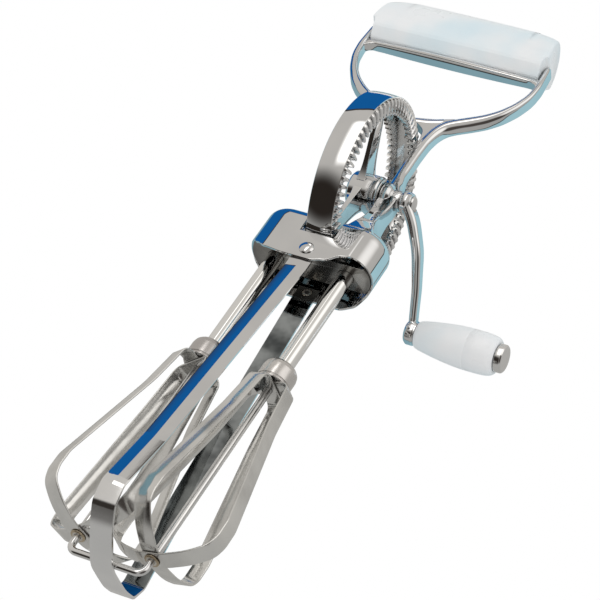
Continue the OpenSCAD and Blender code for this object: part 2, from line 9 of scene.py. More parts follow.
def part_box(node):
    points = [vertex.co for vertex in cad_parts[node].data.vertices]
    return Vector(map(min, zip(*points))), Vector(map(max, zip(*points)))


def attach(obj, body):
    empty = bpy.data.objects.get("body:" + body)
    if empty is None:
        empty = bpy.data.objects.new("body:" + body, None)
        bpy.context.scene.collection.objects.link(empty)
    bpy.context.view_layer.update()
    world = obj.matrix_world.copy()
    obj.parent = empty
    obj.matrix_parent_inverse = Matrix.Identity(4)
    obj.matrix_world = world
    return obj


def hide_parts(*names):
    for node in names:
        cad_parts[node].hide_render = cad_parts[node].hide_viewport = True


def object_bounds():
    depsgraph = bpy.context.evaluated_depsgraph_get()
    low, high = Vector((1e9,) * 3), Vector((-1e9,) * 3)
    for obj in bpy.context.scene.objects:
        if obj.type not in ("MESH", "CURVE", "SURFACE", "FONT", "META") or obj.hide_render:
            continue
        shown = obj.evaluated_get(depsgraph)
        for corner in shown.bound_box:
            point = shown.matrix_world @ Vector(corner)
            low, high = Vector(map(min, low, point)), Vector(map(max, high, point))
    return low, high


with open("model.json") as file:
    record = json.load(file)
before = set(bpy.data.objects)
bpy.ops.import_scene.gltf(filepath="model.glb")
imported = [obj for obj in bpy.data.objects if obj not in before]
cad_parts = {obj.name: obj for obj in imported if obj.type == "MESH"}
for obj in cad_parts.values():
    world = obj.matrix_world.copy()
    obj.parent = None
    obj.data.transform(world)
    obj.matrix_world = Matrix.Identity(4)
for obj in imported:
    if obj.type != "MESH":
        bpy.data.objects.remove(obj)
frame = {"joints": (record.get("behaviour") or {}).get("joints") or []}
cad_low, cad_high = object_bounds()
joints = {j["name"]: j for j in frame["joints"]}

# Lengths below are in millimetres. h is a height above the level just under the pivot wire,
# which lies AXLE_H below the crank axis.
MM = 0.001
AXLE_H = 210.4
AXLE = Vector(joints["crank_spin"]["pos_m"])
BASE = AXLE.z - AXLE_H * MM
SHAFT_X = 15.0
CRANK_DROP = math.radians(46)
CRANK_RADIUS = 48.4
LEFT_PHASE, RIGHT_PHASE = 51, -16
TO_WORLD = Matrix.Translation((0, 0, BASE)) @ Matrix.Diagonal((MM, MM, MM, 1))


# ---------------------------------------------------------------- shapes
def corner(a, b, c, radius, steps):
    """Arc that rounds corner b of the path a-b-c."""
    u, v = (a - b).normalized(), (c - b).normalized()
    half = u.angle(v) / 2
    if radius <= 0 or half > math.radians(89.7):
        return [b]
    reach = min(radius / math.tan(half), (a - b).length * 0.49, (c - b).length * 0.49)
    radius = reach * math.tan(half)
    centre = b + (u + v).normalized() * radius / math.sin(half)
    start, stop = b + u * reach - centre, b + v * reach - centre
    turn = start.angle_signed(stop)
    return [centre + Matrix.Rotation(-turn * i / steps, 2) @ start for i in range(steps + 1)]


def rounded(points, radius=30, steps=8, closed=False):
    """Path through points with its corners rounded. A list of radii names each corner that is
    rounded: all of them on a closed path, those between the ends on an open one."""
    pts = [Vector(p) for p in points]
    n = len(pts)
    out = [] if closed else [pts[0]]
    for i in range(n) if closed else range(1, n - 1):
        r = radius[i if closed else i - 1] if isinstance(radius, (list, tuple)) else radius
        out += corner(pts[i - 1], pts[i], pts[(i + 1) % n], r, steps)
    return out if closed else out + [pts[-1]]


def even(path, step):
    """Open path resampled at about equal steps."""
    lengths = [0.0]
    for a, b in zip(path, path[1:]):
        lengths.append(lengths[-1] + (b - a).length)
    count = max(2, round(lengths[-1] / step))
    out, k = [], 0
    for i in range(count + 1):
        s = lengths[-1] * i / count
        while k < len(path) - 2 and lengths[k + 1] < s:
            k += 1
        t = (s - lengths[k]) / max(lengths[k + 1] - lengths[k], 1e-9)
        out.append(path[k].lerp(path[k + 1], min(max(t, 0), 1)))
    return out


def lookup(x, table):
    """Value at x from a list of (x, value) rows in rising order, straight between rows."""
    if x <= table[0][0]:
        return table[0][1]
    for (x0, y0), (x1, y1) in zip(table, table[1:]):
        if x <= x1:
            return y0 + (y1 - y0) * (x - x0) / (x1 - x0)
    return table[-1][1]


def soft_lookup(x, table):
    """The same with eased steps between rows."""
    if x <= table[0][0]:
        return table[0][1]
    for (x0, y0), (x1, y1) in zip(table, table[1:]):
        if x <= x1:
            t = (x - x0) / (x1 - x0)
            return y0 + (y1 - y0) * t * t * (3 - 2 * t)
    return table[-1][1]


def box_section(half_u, half_v, radius, steps=5):
    """Rounded rectangle as (u, v) points."""
    radius = min(radius, half_u, half_v)
    out = []
    for su, sv, first in ((1, 1, 0), (-1, 1, 90), (-1, -1, 180), (1, -1, 270)):
        for k in range(steps + 1):
            a = math.radians(first + 90 * k / steps)
            out.append((su * (half_u - radius) + radius * math.cos(a),
                        sv * (half_v - radius) + radius * math.sin(a)))
    return out


def sweep(path, section, closed=False, ends=0.0):
    """Solid along a plane path. section(i, s) gives (u, v) points, u to the left of the path
    and v across its plane. Vertices come out as (a, b, v) with (a, b) in the plane.
    ends > 0 rounds both ends over that length."""
    n = len(path)
    total = sum((b - a).length for a, b in zip(path, path[1:]))
    verts, rows, s = [], [], 0.0
    for i, p in enumerate(path):
        a = path[(i - 1) % n] if closed or i else path[0]
        b = path[(i + 1) % n] if closed or i < n - 1 else path[-1]
        before, after = (p - a), (b - p)
        if before.length < 1e-9:
            before = after
        if after.length < 1e-9:
            after = before
        tangent = (before.normalized() + after.normalized()).normalized()
        normal = Vector((-tangent.y, tangent.x))
        widen = 1 / max(normal.dot(Vector((-before.y, before.x)).normalized()), 0.5)
        if i:
            s += (path[i] - path[i - 1]).length
        points = section(i, s / total if total else 0)
        row = []
        for u, v in points:
            q = p + normal * (u * widen)
            row.append(len(verts))
            verts.append(Vector((q.x, q.y, v)))
        rows.append(row)
    m = len(rows[0])
    faces = []
    for i in range(n if closed else n - 1):
        r0, r1 = rows[i], rows[(i + 1) % n]
        faces += [(r0[k], r0[(k + 1) % m], r1[(k + 1) % m], r1[k]) for k in range(m)]
    if not closed:
        for row, sign in ((rows[0], -1), (rows[-1], 1)):
            if ends:
                edge = [verts[k].copy() for k in row]
                middle = sum(edge, Vector()) / m
                p, q = (path[0], path[1]) if sign < 0 else (path[-1], path[-2])
                out = (p - q).normalized() * ends
                last = row
                for k in (1, 2, 3, 4):
                    a = math.radians(90 * k / 4.4)
                    ring = []
                    for e in edge:
                        shrunk = middle + (e - middle) * (1 - 0.75 * (1 - math.cos(a)))
                        ring.append(len(verts))
                        verts.append(shrunk + Vector((out.x, out.y, 0)) * math.sin(a))
                    faces += [(last[j], last[(j + 1) % m], ring[(j + 1) % m], ring[j]) for j in range(m)]
                    last = ring
                row = last
            faces.append(tuple(row))
    return verts, faces


def lathe(profile, segments=96, closed=False):
    """Solid of revolution about the third axis. profile is a list of (radius, z)."""
    verts, rows = [], []
    for r, z in profile:
        if r < 1e-6:
            rows.append([len(verts)] * segments)
            verts.append(Vector((0, 0, z)))
            continue
        rows.append(list(range(len(verts), len(verts) + segments)))
        for k in range(segments):
            a = 2 * math.pi * k / segments
            verts.append(Vector((r * math.cos(a), r * math.sin(a), z)))
    faces = []
    pairs = list(zip(rows, rows[1:])) + ([(rows[-1], rows[0])] if closed else [])
    for low, high in pairs:
        for k in range(segments):
            j = (k + 1) % segments
            ring = []
            for v in (low[k], low[j], high[j], high[k]):
                if v not in ring:
                    ring.append(v)
            if len(ring) > 2:
                faces.append(tuple(ring))
    return verts, faces


def fillet_profile(points, radius, steps=4):
    """Lathe profile with its inner corners rounded."""
    return [(p.x, p.y) for p in rounded(points, radius, steps)]


def moved(shape, matrix):
    return [matrix @ v for v in shape[0]], shape[1]


def along_x(x=0.0, y=0.0, h=AXLE_H):
    """Takes the third axis to +X at the given place."""
    return Matrix.Translation((x, y, h)) @ Matrix.Rotation(math.pi / 2, 4, "Y")


def along_y(x, y, h, sign=1):
    """Takes the third axis to +Y (sign 1) or -Y."""
    return Matrix.Translation((x, y, h)) @ Matrix.Rotation(-sign * math.pi / 2, 4, "X")


def upright(y=0.0):
    """Takes a plane path drawn as (X, h) with v along Y to its place."""
    return Matrix(((1, 0, 0, 0), (0, 0, 1, y), (0, 1, 0, 0), (0, 0, 0, 1)))


SIDE = Matrix(((0, 0, 1, 0), (1, 0, 0, 0), (0, 1, 0, 0), (0, 0, 0, 1)))


def join(shapes):
    verts, faces = [], []
    for v, f in shapes:
        faces += [tuple(k + len(verts) for k in face) for face in f]
        verts += v
    return verts, faces


def make(name, shapes, sharp=32, merge=0.002):
    """Object in metres from millimetre shapes."""
    verts, faces = join(shapes)
    mesh = bpy.data.meshes.new(name)
    mesh.from_pydata([TO_WORLD @ v for v in verts], [], faces)
    bm = bmesh.new()
    bm.from_mesh(mesh)
    bmesh.ops.remove_doubles(bm, verts=bm.verts, dist=merge * MM)
    bmesh.ops.recalc_face_normals(bm, faces=bm.faces)
    bm.to_mesh(mesh)
    bm.free()
    mesh.polygons.foreach_set("use_smooth", [True] * len(mesh.polygons))
    mesh.set_sharp_from_angle(angle=math.radians(sharp))
    obj = bpy.data.objects.new(name, mesh)
    bpy.context.scene.collection.objects.link(obj)
    return obj


def bevel(obj, width, segments=3, angle=38):
    m = obj.modifiers.new("edge", "BEVEL")
    m.width, m.segments, m.limit_method = width * MM, segments, "ANGLE"
    m.angle_limit = math.radians(angle)
    m.harden_normals = True


def apply_modifiers(obj):
    graph = bpy.context.evaluated_depsgraph_get()
    mesh = bpy.data.meshes.new_from_object(obj.evaluated_get(graph))
    obj.modifiers.clear()
    obj.data = mesh


def drill(obj, *cutters):
    """Cuts closed millimetre shapes out of the object."""
    for shape in cutters:
        tool = make("cutter", [shape])
        m = obj.modifiers.new("bore", "BOOLEAN")
        m.operation, m.solver, m.object = "DIFFERENCE", "EXACT", tool
        apply_modifiers(obj)
        bpy.data.objects.remove(tool)


def place(obj, body, node, material):
    obj.data.materials.clear()
    obj.data.materials.append(material)
    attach(obj, body)
    if node:
        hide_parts(node)
    return obj


def rod(radius, low, high, chamfer=0.3, bore=0.0, segments=64):
    c = chamfer
    return lathe([(bore, low), (radius - c, low), (radius - c * 0.3, low + c * 0.3),
                  (radius, low + c), (radius, high - c), (radius - c * 0.3, high - c * 0.3),
                  (radius - c, high), (bore, high)], segments, closed=bore > 0)


# ---------------------------------------------------------------- materials
class Tree:
    """Short way to write a node tree."""

    def __init__(self, tree):
        self.tree = tree
        tree.nodes.clear()

    def node(self, kind, inputs=(), **settings):
        n = self.tree.nodes.new(kind)
        for key, value in settings.items():
            setattr(n, key, value)
        for key, value in dict(inputs).items():
            if isinstance(value, bpy.types.NodeSocket):
                self.tree.links.new(value, n.inputs[key])
            else:
                n.inputs[key].default_value = value
        return n

    def math(self, operation, a, b=0.0, clamp=False):
        return self.node("ShaderNodeMath", {0: a, 1: b}, operation=operation, use_clamp=clamp).outputs[0]

    def step(self, x, low, high, a=0.0, b=1.0):
        """Smooth step of x from a at low to b at high."""
        return self.node("ShaderNodeMapRange", {"Value": x, "From Min": low, "From Max": high,
                                                "To Min": a, "To Max": b},
                         interpolation_type="SMOOTHSTEP").outputs[0]

    def mix(self, factor, a, b):
        n = self.node("ShaderNodeMix", {0: factor, 6: a, 7: b}, data_type="RGBA")
        return n.outputs[2]

    def noise(self, vector, scale, detail=2.0, roughness=0.5):
        return self.node("ShaderNodeTexNoise", {"Vector": vector, "Scale": scale, "Detail": detail,
                                                "Roughness": roughness}).outputs[0]

    def dot(self, vector, axis):
        n = self.node("ShaderNodeVectorMath", {0: vector, 1: tuple(axis)}, operation="DOT_PRODUCT")
        return n.outputs["Value"]


def rgb(r, g, b):
    return (r, g, b, 1.0)


def metal(name, light, dark, roughness, spread, bump, stretch=(1, 1, 1), grain=900.0, wear=0.1,
          blotch=45.0, dull_below=None, shade=0.5, reach=0.01):
    """Metal with soft blotches, fine grain, roughness variation and edges rubbed brighter.
    Below the height dull_below it loses its mirror finish. Corners and hollows closer than reach
    get painted shade: their colour is darkened towards near black by shade."""
    material = bpy.data.materials.new(name)
    material.use_nodes = True
    t = Tree(material.node_tree)
    coords = t.node("ShaderNodeTexCoord").outputs["Object"]
    lines = t.node("ShaderNodeMapping", {"Vector": coords, "Scale": stretch}).outputs[0]
    cloud = t.noise(coords, blotch, 3.0, 0.55)
    fine = t.noise(lines, grain, 4.0, 0.6)
    edge = t.step(t.node("ShaderNodeNewGeometry").outputs["Pointiness"], 0.52, 0.6)
    color = t.mix(t.step(cloud, 0.35, 0.7), light, dark)
    color = t.mix(t.math("MULTIPLY", edge, wear * 4), color, rgb(0.97, 0.97, 0.96))
    # Painted shade: where ambient occlusion finds corners and hollows within reach, the colour darkens towards near
    # black.
    open_sky = t.node("ShaderNodeAmbientOcclusion", {"Distance": reach}, samples=6).outputs["AO"]
    painted_hollow_shade = t.math("MULTIPLY", t.step(open_sky, 0.75, 0.15), shade)
    color = t.mix(painted_hollow_shade, color, rgb(0.035, 0.03, 0.026))
    rough = t.step(cloud, 0.3, 0.75, roughness, roughness + spread)
    rough = t.math("ADD", rough, t.math("MULTIPLY", t.step(fine, 0.5, 0.8), spread))
    rough = t.math("ADD", rough, t.math("MULTIPLY", edge, wear * 0.5))
    if dull_below is not None:
        height = t.node("ShaderNodeSeparateXYZ", {0: coords}).outputs[2]
        rough = t.math("ADD", rough, t.step(height, dull_below + 0.003, dull_below - 0.004, 0.0, 0.2))
    bumps = t.node("ShaderNodeBump", {"Strength": bump, "Distance": 0.0001, "Height": fine})
    shader = t.node("ShaderNodeBsdfPrincipled", {
        "Base Color": color, "Metallic": 1.0, "Roughness": t.math("MAXIMUM", rough, 0.0),
        "Normal": bumps.outputs[0]})
    out = t.node("ShaderNodeOutputMaterial")
    t.tree.links.new(shader.outputs[0], out.inputs[0])
    return material


def plastic(name):
    """White moulded plastic: faint cloudiness, fine pebble bump, softly lit from inside."""
    material = bpy.data.materials.new(name)
    material.use_nodes = True
    t = Tree(material.node_tree)
    coords = t.node("ShaderNodeTexCoord").outputs["Object"]
    cloud = t.noise(coords, 60.0, 3.0, 0.55)
    fine = t.noise(coords, 1500.0, 3.0, 0.6)
    edge = t.step(t.node("ShaderNodeNewGeometry").outputs["Pointiness"], 0.52, 0.62)
    drift = t.noise(coords, 28.0, 2.0, 0.5)
    color = t.mix(t.step(cloud, 0.3, 0.7), rgb(0.94, 0.945, 0.95), rgb(0.9, 0.925, 0.94))
    color = t.mix(t.step(drift, 0.45, 0.7), color, rgb(0.76, 0.87, 0.92))
    color = t.mix(t.math("MULTIPLY", edge, 0.3), color, rgb(0.97, 0.97, 0.96))
    rough = t.step(cloud, 0.3, 0.7, 0.26, 0.4)
    bumps = t.node("ShaderNodeBump", {"Strength": 0.12, "Distance": 0.0002, "Height": fine})
    shader = t.node("ShaderNodeBsdfPrincipled", {
        "Base Color": color, "Roughness": rough, "Normal": bumps.outputs[0],
        "Subsurface Weight": 0.25, "Subsurface Radius": (1.0, 1.0, 1.0), "Subsurface Scale": 0.003,
        "IOR": 1.5})
    out = t.node("ShaderNodeOutputMaterial")
    t.tree.links.new(shader.outputs[0], out.inputs[0])
    return material


# Every metal below has painted shade in its corners and hollows, set by shade and reach; the gear chrome's tooth
# valleys get the strongest.
CHROME = metal("chrome_plate", rgb(0.93, 0.93, 0.935), rgb(0.86, 0.865, 0.875), -0.1, 0.04, 0.02, wear=0.3, shade=0.6, reach=0.012)
GEAR_CHROME = metal("gear_chrome", rgb(0.93, 0.93, 0.935), rgb(0.82, 0.82, 0.83), 0.05, 0.05, 0.1, wear=0.2,
                    shade=0.95, reach=0.0022)
STRIP_CHROME = metal("strip_chrome", rgb(0.92, 0.92, 0.925), rgb(0.86, 0.86, 0.87), -0.1, 0.045, 0.04,
                     stretch=(1, 1, 0.06), grain=1400.0, dull_below=BASE + 20 * MM)
# Painted shade: a darkened copy of the strip chrome for the forward-facing inner face of the back leg.
STRIP_BACK_PAINTED_SHADE = metal("strip_chrome_inside_painted_shade", rgb(0.46, 0.49, 0.5), rgb(0.1, 0.11, 0.115), -0.1, 0.045, 0.04,
                   stretch=(1, 1, 0.06), grain=1400.0, blotch=70.0)
STAINLESS = metal("stainless_strip", rgb(0.86, 0.855, 0.84), rgb(0.66, 0.655, 0.64), 0.1, 0.08, 0.08,
                  stretch=(1, 1, 0.08), grain=1600.0, wear=0.25, shade=0.75, reach=0.014)
SATIN = metal("satin_steel", rgb(0.76, 0.74, 0.72), rgb(0.58, 0.555, 0.545), 0.2, 0.1, 0.12,
              stretch=(1, 1, 0.3), grain=1500.0, wear=0.2, shade=0.7)
STEEL = metal("bright_steel", rgb(0.86, 0.86, 0.86), rgb(0.76, 0.76, 0.77), 0.07, 0.05, 0.04,
              stretch=(1, 1, 0.1), grain=1500.0)
BRIDGE_STEEL = metal("bridge_steel", rgb(0.3, 0.29, 0.27), rgb(0.12, 0.12, 0.12), 0.16, 0.1, 0.2, shade=0.8)
BRASS = metal("brass", rgb(0.6, 0.5, 0.36), rgb(0.4, 0.32, 0.22), 0.22, 0.12, 0.15, wear=0.2, shade=0.8)
WHITE = plastic("white_plastic")

# ---------------------------------------------------------------- frame of the tool
GRIP_LONG = 82
WIDE = GRIP_LONG / 85
ARM = [(14.6, 256.2), (18.4, 259.2), (23.9 * WIDE, 262.3), (29 * WIDE, 265.8), (33.8 * WIDE, 270.5),
       (38 * WIDE, 277), (41 * WIDE, 284.5), (41.73 * WIDE, 292), (41 * WIDE, 303)]
STEM = [(13.35, 179), (13.2, 181), (12.6, 186), (12.3, 190), (12.3, 194), (12.35, 199), (12.4, 205),
        (12.3, 211), (11.6, 217), (10.8, 223), (10.75, 236), (11.1, 244), (12.2, 251)]
STEM_HALF = [(175, 6.4), (181, 5.9), (186, 4.4), (190, 3.3), (194, 2.9), (199, 3.1), (203, 3.6),
             (212, 3.6), (217, 2.9), (223, 2.2), (236, 2.15), (246, 2.1), (252, 2.35), (256, 2.75), (262, 2.7), (266, 2.45),
             (271, 2.05), (277, 1.6), (285, 1.3), (292, 1.25), (304, 1.25)]
STEM_DEPTH = [(175, 11.2), (181, 10.4), (186, 8.6), (190, 6.9), (194, 5.5), (198, 4.4), (203, 3.9),
              (210, 3.7), (217, 3.25), (304, 3.2)]
STEM_FLAT = [(176, 0.85), (190, 0.9), (211, 1), (216, 0.3), (222, 0)]


def bar_section(half_width, half_depth, flat=0.0):
    """Section of the frame: full round front and back, or flat with small round edges at flat 1."""
    full = min(half_width, half_depth) * 0.92
    radius = full + (0.6 - full) * flat
    out = []
    for u, v in box_section(half_width, half_depth, radius, 7):
        out.append((u * (1 + 0.05 * (1 - (v / half_depth) ** 2)), v))
    return out


main_path = even(rounded(STEM + ARM, 22, 8), 1.6)
stem = make("frame_stem_and_right_arm", [moved(sweep(
    main_path,
    lambda i, s: bar_section(lookup(main_path[i].y, STEM_HALF), lookup(main_path[i].y, STEM_DEPTH),
                             lookup(main_path[i].y, STEM_FLAT)),
    ends=1.4), upright())])
drill(stem, moved(rod(2.6, 0, 20, 0.1), along_x(2)),
      moved(rod(2.1, 170, 181.3, 0.1), Matrix.Translation((SHAFT_X, 0, 0))))
place(stem, "handle", "frame", CHROME)

LEFT = [(-x, h) for x, h in reversed(ARM[1:])] + [(-9.5, 256), (0, 254.7), (7, 255.6), (13, 258)]
LOOP_HALF = [(254.6, 1.7), (256, 2.0), (259, 2.5), (262, 2.6), (266, 2.4), (271, 2.05), (277, 1.6),
             (285, 1.3), (292, 1.25), (304, 1.25)]
left_path = even(rounded(LEFT, 22, 8), 1.6)
left_arm = make("frame_left_arm", [moved(sweep(
    left_path,
    lambda i, s: bar_section(lookup(left_path[i].y, LOOP_HALF),
                             3.2 - 0.45 * max(0.0, min(1.0, (left_path[i].x + 12) / 12))),
    ends=1.4), upright())])
place(left_arm, "handle", "frame", CHROME)


def plate(outline, half_depth, place_matrix):
    """Flat plate from a closed outline, half_depth each way."""
    n = len(outline)
    verts = [Vector((p[0], p[1], v)) for v in (-half_depth, half_depth) for p in outline]
    faces = [tuple(range(n)), tuple(range(n, 2 * n))]
    faces += [(k, (k + 1) % n, n + (k + 1) % n, n + k) for k in range(n)]
    return moved((verts, faces), place_matrix)


gusset_outline = rounded([(9.2, 236), (8.5, 245), (7.2, 250.6), (3.6, 253.6), (-2, 254.6), (1, 256.2),
                          (10, 258.3), (17, 261.2), (19, 259), (15, 254), (12, 246), (11.4, 236)],
                         [0, 6, 6, 8, 0, 6, 20, 0, 0, 4, 4, 0], 6, closed=True)
gusset = make("frame_gusset", [plate(gusset_outline, 2.55, upright())])
bevel(gusset, 0.5)
place(gusset, "handle", "frame", CHROME)

BAR_TOP = 296.0
BAR_END = 41.6 * WIDE
bar_stations = [BAR_END * (k / 32 - 1) for k in range(65)]


def bar_bottom(x):
    return BAR_TOP - 2.1 - lookup(BAR_END - abs(x), [(0, 4.1), (1, 2.4), (2.2, 1.1), (3.6, 0.35), (5.2, 0)])


def bar_points(x):
    """Section of the cross bar as (y, h), bowed in plan, flat below with small round edges."""
    half = 2.9 - 0.95 * (x / BAR_END) ** 2
    low, high = bar_bottom(x), BAR_TOP + 0.6
    return [(p.x, p.y) for p in rounded([(-half, high), (-half, low), (half, low), (half, high)],
                                        0.45, 4, closed=True)]


def loft(sections, xs, to_place=None):
    """Skin over sections of equal count, each a list of (y, h) at its x, closed at both ends."""
    verts, rows = [], []
    for x, points in zip(xs, sections):
        rows.append(range(len(verts), len(verts) + len(points)))
        verts += [Vector((x(y, h) if callable(x) else x, y, h)) for y, h in points]
    m = len(rows[0])
    faces = [tuple(rows[0]), tuple(rows[-1])]
    for low, high in zip(rows, rows[1:]):
        faces += [(low[k], low[(k + 1) % m], high[(k + 1) % m], high[k]) for k in range(m)]
    return verts, faces


cross_bar = make("frame_cross_bar", [loft([bar_points(x) for x in bar_stations], bar_stations)])
place(cross_bar, "handle", "frame", CHROME)

boss = make("frame_axle_boss", [moved(lathe(fillet_profile(
    [(2.6, 8.7), (5.6, 8.7), (6.0, 9.3), (6.0, 11.4), (5.2, 12.5), (4.2, 13.2), (4.2, 16.5), (3.7, 17.0),
     (2.6, 17.0)], [0.4, 0.5, 0.8, 0.8, 0.8, 0.5, 0.3]), 72, closed=True), along_x())])
place(boss, "handle", "frame", CHROME)

# Housing of the pinions: a shell over two round lobes, open below, with a slot for the wheel.
OUTER, WALL = 11.3, 1.0
SLOT_X, SLOT_H = 7.2, 171.0
DOME = [(OUTER, 178.4), (OUTER - 0.12, 179.3), (OUTER - 0.5, 180.3), (OUTER - 1.1, 181.2),
        (OUTER - 2.0, 182.2), (OUTER - 3.2, 183.2), (OUTER - 4.6, 184.1), (OUTER - 6.4, 184.9),
        (OUTER - 8.6, 185.3), (0, 185.4)]
FRONT_LIP = [(-26.3, 164.6), (-24.4, 163.6), (-20.6, 160), (-16.5, 157.9), (-8, 157.2), (3, 157.2),
             (8.5, 158.9), (14.5, 163.2), (19, 164.6), (26.3, 164.6)]
BACK_LIP = [(-26.3, 164.6), (-24.4, 163.4), (-20.6, 159.6), (-17, 157.4), (-8, 156), (14, 156),
            (20, 158), (24.6, 162), (26.3, 164.6)]


def housing_columns():
    """(base x, direction, inside the slot) round the outline, from the front left corner."""
    xs = sorted({-15 + 30 * k / 24 for k in range(25)} | {-SLOT_X, SLOT_X})
    xs = [x for x in xs if abs(abs(x) - SLOT_X) < 1e-6 or abs(abs(x) - SLOT_X) > 0.4]
    out = [(x, (0, -1), abs(x) < SLOT_X - 1e-6) for x in xs]
    arc = [math.radians(180 * k / 40 - 90) for k in range(1, 40)]
    out += [(15, (math.cos(a), math.sin(a)), False) for a in arc]
    out += [(x, (0, 1), abs(x) < SLOT_X - 1e-6) for x in reversed(xs)]
    out += [(-15, (-math.cos(a), -math.sin(a)), False) for a in arc]
    return out


def housing_shell():
    verts, columns = [], []
    for base, (dx, dy), in_slot in housing_columns():
        x, y = base + OUTER * dx, OUTER * dy
        lip = soft_lookup(x, FRONT_LIP) if y < 0 else soft_lookup(x, BACK_LIP)
        heights = [lip + (SLOT_H - lip) * k / 6 for k in range(7)]
        points = [(OUTER, h) for h in heights]
        if not in_slot:
            points += [(OUTER, SLOT_H + (178.4 - SLOT_H) * k / 4) for k in range(1, 4)] + DOME
        columns.append(range(len(verts), len(verts) + len(points)))
        verts += [Vector((base + r * dx, r * dy, h)) for r, h in points]
    faces = []
    for left, right in zip(columns, columns[1:] + columns[:1]):
        for k in range(min(len(left), len(right)) - 1):
            faces.append((left[k], right[k], right[k + 1], left[k + 1]))
    return verts, faces


housing = make("frame_gear_housing", [housing_shell()], sharp=50)
skin = housing.modifiers.new("wall", "SOLIDIFY")
skin.thickness, skin.offset, skin.use_even_offset = WALL * MM, -1, True
bevel(housing, 0.28, 3, 50)
place(housing, "handle", "frame", CHROME)

bearings = make("frame_shaft_bearings", [
    moved(rod(4, 177.0, 184.6, 0.3, bore=2.1), Matrix.Translation((s * SHAFT_X, 0, 0))) for s in (-1, 1)])
place(bearings, "handle", "frame", STEEL)

# ---------------------------------------------------------------- grip
GRIP_LOW, GRIP_TALL = 296.0, 28.0
STEP_X = 39.4 * WIDE
END_X = GRIP_LONG / 2 - 0.8
GRIP_SIDE = [(0, 0), (3.3, 0.1), (3.9, 0.5), (5.6, 2.1), (7.2, 3.6), (7.95, 4.9), (8.5, 7.0), (8.9, 10.0),
             (8.85, 13.5), (8.5, 16.6), (7.8, 19.6), (6.7, 22.4), (5.3, 24.9), (3.6, 26.8), (1.8, 27.75),
             (0, 28)]


def grip_section(crown, inset=0.0):
    half = [(p.x, p.y) for p in rounded(GRIP_SIDE, [0.5, 0.5, 3, 0.9, 3, 6, 8, 8, 8, 8, 8, 6, 5, 5], 3)]
    ring = [(-y, h) for y, h in half] + [(y, h) for y, h in reversed(half[1:-1])]
    k = (8.9 - inset) / 8.9
    return [(y * k, GRIP_LOW + 14 + (min(h, h * crown) - 14) * (14 - inset) / 14) for y, h in ring]


def grip_end(x_end, sign):
    """X of the grip surface at height h: the ends lean in towards the top."""
    def at(y, h):
        up = max(0.0, (h - GRIP_LOW) / GRIP_TALL)
        return sign * (x_end - 4.2 * up ** 1.8 - 0.7 * (y / 8.9) ** 2)
    return at


stations, crowns = [], []
for k in range(-20, 21):
    f = k / 20
    stations.append(grip_end(END_X * abs(f), math.copysign(1, f)) if abs(k) > 14 else END_X * f)
    crowns.append(grip_section(1 - 0.02 * f ** 2 - 0.075 * abs(f) ** 9))
for angle in (30, 60, 85):
    a = math.radians(angle)
    inset, out = 1.1 * (1 - math.cos(a)), 0.8 * math.sin(a)
    section = grip_section(0.905, inset)
    stations = [grip_end(END_X + out, -1)] + stations + [grip_end(END_X + out, 1)]
    crowns = [section] + crowns + [section]
grip = make("grip_shell", [loft(crowns, stations)], sharp=60)
step_cut = rounded([(STEP_X, 290), (STEP_X, 301.2), (STEP_X + 0.6, 302.9), (STEP_X + 2.2, 304.1),
                    (50, 304.1), (50, 290)], [0, 1.5, 1, 1, 0, 0], 4, closed=True)
drill(grip, plate(step_cut, 14, upright()),
      plate([(-p.x, p.y) for p in step_cut], 14, upright()))
grip.data.polygons.foreach_set("use_smooth", [True] * len(grip.data.polygons))
grip.data.set_sharp_from_angle(angle=math.radians(50))
bevel(grip, 0.3, 2, 55)
place(grip, "handle", "grip", WHITE)

# ---------------------------------------------------------------- rivets, strip, wire
front_rivet = make("front_rivet_head", [moved(lathe(
    [(0, -1.6), (2.8, -1.6), (2.8, 0), (2.95, 0.1), (2.9, 0.45), (2.5, 0.85), (1.8, 1.15), (0.9, 1.3),
     (0, 1.33)], 48), along_y(0, -OUTER, 162.3, -1))])
place(front_rivet, "handle", "front_rivet", CHROME)

back_rivet = make("back_rivet_head", [
    moved(lathe(fillet_profile([(1.0, -1.0), (2.9, -1.0), (2.9, -0.35), (2.2, 0), (1.15, 0), (1.0, -0.3)],
                               0.25), 48, closed=True), along_y(0, 9.08, 158.8, -1)),
    moved(rod(2.0, -1.3, 1.9, 0.2, bore=1.0), along_y(0, 10.3, 158.8)),
    moved(lathe(fillet_profile([(1.0, 0), (2.8, 0), (2.7, 0.6), (1.9, 1.1), (1.2, 1.2), (1.0, 0.9)], 0.25),
                48, closed=True), along_y(0, OUTER, 158.8))])
place(back_rivet, "handle", "back_rivet", BRASS)

STRIP_Y = 10.28 - 0.6
STRIP = [(0, 0.5), (9, 2.9), (17, 5.2), (24.6, 9), (27.8, 16.5), (22.3, 45), (STRIP_Y, 154),
         (STRIP_Y, 167)]
strip_points = [(-y, h) for y, h in reversed(STRIP[1:])] + STRIP
strip_path = rounded(strip_points, [30, 30, 5, 4, 30, 30, 14, 30, 30, 4, 5, 30, 30], 8)
STRIP_CREST = [(0, 0), (10, 0.05), (20, 0.5), (150, 0.55), (158, 0)]


def strip_section(i, s):
    """Strip with a ridge along its outer face; the ridge runs out at the bends."""
    h = strip_path[i].y
    crest = lookup(h, STRIP_CREST)
    half, t = 4.5, 0.6
    # u is to the left of the path, which runs from the front top down and up the back: -u is outside
    outside = [(-t, 0.0), (-t + crest * 0.96, 4.1), (-t + crest, 4.42)]
    inside = [(t, 4.42), (t, 4.1), (t - 0.0, 0.0)]
    ring = outside + [(0.2, half)] + inside
    return ring + [(u, -v) for u, v in reversed(ring[1:-1])]


